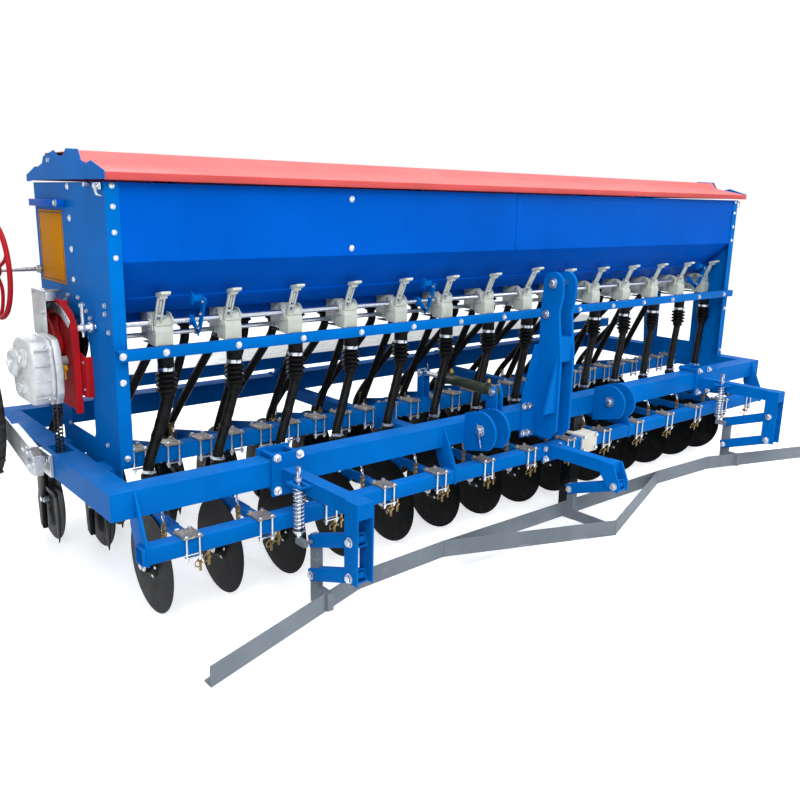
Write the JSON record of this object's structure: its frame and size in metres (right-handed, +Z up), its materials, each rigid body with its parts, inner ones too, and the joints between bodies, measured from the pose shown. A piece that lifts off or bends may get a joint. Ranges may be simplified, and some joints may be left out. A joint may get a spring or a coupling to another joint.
{
  "type": "seed drill",
  "caption": "Mounted seed and fertiliser drill with a long hopper, disc openers, a front leveller blade, a left-hand ground wheel drive and a rear platform.",
  "frame": {"origin": "centre of the bounding box in plan, on the ground", "axes": "+X to the machine's right-hand end as seen from behind it facing the tractor, +Y to its rear, +Z up"},
  "size_m": [4.635, 2.092, 1.788],
  "materials": {
    "blue_paint": "gloss blue enamel",
    "lid_paint": "sun-faded light red enamel",
    "red_paint": "red enamel",
    "grey_paint": "grey enamel, worn",
    "pale_grey_paint": "pale grey enamel",
    "meter_plastic": "pale moulded plastic",
    "hose_rubber": "black hose",
    "olive_paint": "dark olive enamel",
    "zinc_plate": "zinc plated",
    "dark_steel": "dark painted and bare steel",
    "tyre_rubber": "black tyre rubber"
  },
  "bodies": {
    "drill": {"main_frame": "blue_paint", "front_tool_bar": "blue_paint", "seed_tool_bar": "blue_paint", "hopper_body": "blue_paint", "hopper_end_left": "blue_paint", "hopper_end_right": "blue_paint", "fertiliser_meters": "meter_plastic", "adjusting_shaft": "blue_paint", "seed_meters": "hose_rubber", "tube_rail": "blue_paint", "mast": "blue_paint", "hitch_clevis_left": "blue_paint", "hitch_clevis_right": "blue_paint", "lift_cylinder": "olive_paint", "leveller_arm_left": "blue_paint", "leveller_spring_left": "zinc_plate", "leveller_arm_right": "blue_paint", "leveller_spring_right": "zinc_plate", "leveller_arm_centre": "blue_paint", "parking_leg": "grey_paint", "parking_leg_bracket": "pale_grey_paint", "gear_quadrant": "red_paint", "drive_guard": "red_paint", "gearbox": "pale_grey_paint", "gearbox_bracket": "grey_paint", "drive_chain": "dark_steel", "wheel_arm": "pale_grey_paint", "platform": "zinc_plate", "hand_wheel": "red_paint"},
    "lid": {"hopper_lid": "lid_paint", "lid_cap_left": "blue_paint", "lid_cap_right": "blue_paint"},
    "ground_wheel": {"ground_tyre": "tyre_rubber", "ground_rim": "zinc_plate"},
    "upper_link_left": {"leveller_upper_link_left": "blue_paint"},
    "lower_link_left": {"leveller_lower_link_left": "blue_paint"},
    "upper_link_right": {"leveller_upper_link_right": "blue_paint"},
    "lower_link_right": {"leveller_lower_link_right": "blue_paint"},
    "link_centre": {"leveller_link_centre": "blue_paint"},
    "blade": {"leveller_blade": "grey_paint"},
    "disc_1": {"front_disc_1": "dark_steel"},
    "disc_2": {"front_disc_2": "dark_steel"},
    "disc_3": {"front_disc_3": "dark_steel"},
    "disc_4": {"front_disc_4": "dark_steel"},
    "disc_5": {"front_disc_5": "dark_steel"},
    "disc_6": {"front_disc_6": "dark_steel"},
    "disc_7": {"front_disc_7": "dark_steel"},
    "disc_8": {"front_disc_8": "dark_steel"},
    "disc_9": {"front_disc_9": "dark_steel"},
    "disc_10": {"front_disc_10": "dark_steel"},
    "disc_11": {"front_disc_11": "dark_steel"},
    "disc_12": {"front_disc_12": "dark_steel"},
    "disc_13": {"front_disc_13": "dark_steel"},
    "disc_14": {"front_disc_14": "dark_steel"}
  },
  "joints": [
    {"name": "lid_hinge", "type": "hinge", "parent": "drill", "child": "lid", "pos_m": [0, 0.51702, 1.674], "axis": [-1, 0, 0], "range_deg": [0, 100]},
    {"name": "disc_1_spin", "type": "hinge", "parent": "drill", "child": "disc_1", "pos_m": [-1.8375, -0.21898, 0.205], "axis": [1, 0, 0], "continuous": true},
    {"name": "disc_2_spin", "type": "hinge", "parent": "drill", "child": "disc_2", "pos_m": [-1.5375, -0.21898, 0.205], "axis": [1, 0, 0], "continuous": true},
    {"name": "disc_3_spin", "type": "hinge", "parent": "drill", "child": "disc_3", "pos_m": [-1.2375, -0.21898, 0.205], "axis": [1, 0, 0], "continuous": true},
    {"name": "disc_4_spin", "type": "hinge", "parent": "drill", "child": "disc_4", "pos_m": [-0.9375, -0.21898, 0.205], "axis": [1, 0, 0], "continuous": true},
    {"name": "disc_5_spin", "type": "hinge", "parent": "drill", "child": "disc_5", "pos_m": [-0.6375, -0.21898, 0.205], "axis": [1, 0, 0], "continuous": true},
    {"name": "disc_6_spin", "type": "hinge", "parent": "drill", "child": "disc_6", "pos_m": [-0.3375, -0.21898, 0.205], "axis": [1, 0, 0], "continuous": true},
    {"name": "disc_7_spin", "type": "hinge", "parent": "drill", "child": "disc_7", "pos_m": [-0.0375, -0.21898, 0.205], "axis": [1, 0, 0], "continuous": true},
    {"name": "disc_8_spin", "type": "hinge", "parent": "drill", "child": "disc_8", "pos_m": [0.2625, -0.21898, 0.205], "axis": [1, 0, 0], "continuous": true},
    {"name": "disc_9_spin", "type": "hinge", "parent": "drill", "child": "disc_9", "pos_m": [0.5625, -0.21898, 0.205], "axis": [1, 0, 0], "continuous": true},
    {"name": "disc_10_spin", "type": "hinge", "parent": "drill", "child": "disc_10", "pos_m": [0.8625, -0.21898, 0.205], "axis": [1, 0, 0], "continuous": true},
    {"name": "disc_11_spin", "type": "hinge", "parent": "drill", "child": "disc_11", "pos_m": [1.1625, -0.21898, 0.205], "axis": [1, 0, 0], "continuous": true},
    {"name": "disc_12_spin", "type": "hinge", "parent": "drill", "child": "disc_12", "pos_m": [1.4625, -0.21898, 0.205], "axis": [1, 0, 0], "continuous": true},
    {"name": "disc_13_spin", "type": "hinge", "parent": "drill", "child": "disc_13", "pos_m": [1.7625, -0.21898, 0.205], "axis": [1, 0, 0], "continuous": true},
    {"name": "disc_14_spin", "type": "hinge", "parent": "drill", "child": "disc_14", "pos_m": [2.0625, -0.21898, 0.205], "axis": [1, 0, 0], "continuous": true},
    {"name": "ground_wheel_spin", "type": "hinge", "parent": "drill", "child": "ground_wheel", "pos_m": [-2.2325, 0.71602, 0.7], "axis": [1, 0, 0], "continuous": true},
    {"name": "leveller_swing", "type": "hinge", "parent": "drill", "child": "upper_link_left", "pos_m": [-1.3875, -0.98898, 0.45], "axis": [1, 0, 0], "range_deg": [-12, 15], "deforming": ["leveller_spring_left", "leveller_spring_right"]},
    {"name": "lower_link_left_swing", "type": "hinge", "parent": "drill", "child": "lower_link_left", "pos_m": [-1.3875, -0.98898, 0.312], "axis": [1, 0, 0], "range_deg": [-12, 15]},
    {"name": "upper_link_right_swing", "type": "hinge", "parent": "drill", "child": "upper_link_right", "pos_m": [1.6125, -0.98898, 0.45], "axis": [1, 0, 0], "range_deg": [-12, 15]},
    {"name": "lower_link_right_swing", "type": "hinge", "parent": "drill", "child": "lower_link_right", "pos_m": [1.6125, -0.98898, 0.312], "axis": [1, 0, 0], "range_deg": [-12, 15]},
    {"name": "link_centre_swing", "type": "hinge", "parent": "drill", "child": "link_centre", "pos_m": [0.1125, -1.01898, 0.35], "axis": [1, 0, 0], "range_deg": [-12, 15]},
    {"name": "blade_pivot", "type": "hinge", "parent": "upper_link_left", "child": "blade", "pos_m": [-1.3875, -0.72418, 0.359], "axis": [1, 0, 0], "range_deg": [-15, 12]}
  ],
  "couplings": [
    {"joint": "lower_link_left_swing", "follows": "leveller_swing", "ratio": 1},
    {"joint": "upper_link_right_swing", "follows": "leveller_swing", "ratio": 1},
    {"joint": "lower_link_right_swing", "follows": "leveller_swing", "ratio": 1},
    {"joint": "link_centre_swing", "follows": "leveller_swing", "ratio": 1},
    {"joint": "blade_pivot", "follows": "leveller_swing", "ratio": -1}
  ]
}
